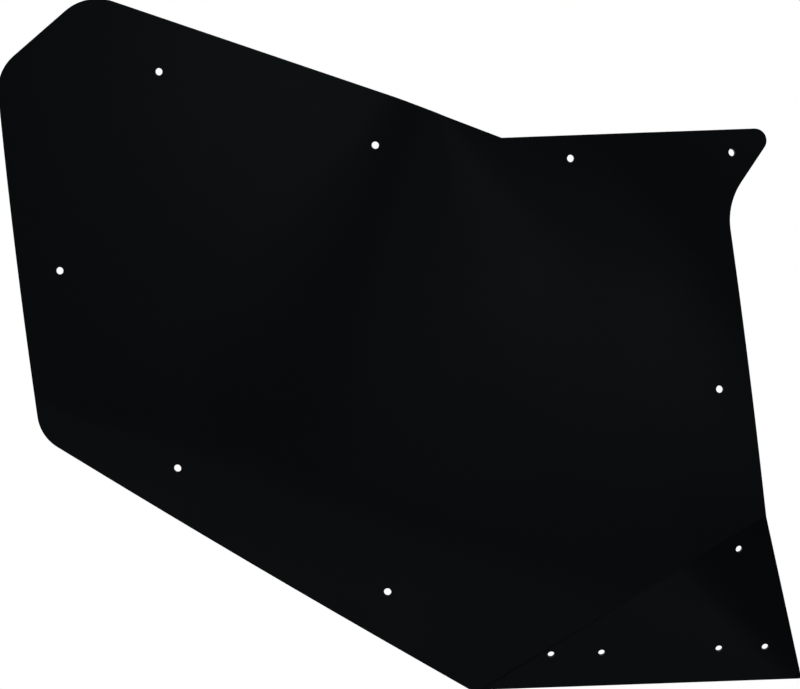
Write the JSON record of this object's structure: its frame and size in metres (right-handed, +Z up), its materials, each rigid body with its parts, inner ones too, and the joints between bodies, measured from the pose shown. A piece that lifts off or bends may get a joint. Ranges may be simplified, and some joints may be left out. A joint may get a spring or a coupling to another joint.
{
  "type": "off-road vehicle door skin",
  "caption": "Bolt-on body panel for an off-road vehicle: one black moulded sheet, gently rolled and creased, with a tucked-under lower flap, a pointed rear ear and fixing holes round the rim.",
  "frame": {"origin": "centre of the datum fixing hole (mount upper_middle) at mid thickness", "axes": "+X towards the rear end of the panel, -Y is the outer side, +Z up with the panel in its installed attitude"},
  "size_m": [0.7625, 0.1071, 0.6546],
  "materials": {
    "black_plastic": "satin black formed plastic sheet, coloured right through, very fine grain, same on both faces and the cut edges"
  },
  "bodies": {
    "root": {"formed_panel": "black_plastic"}
  },
  "joints": []
}
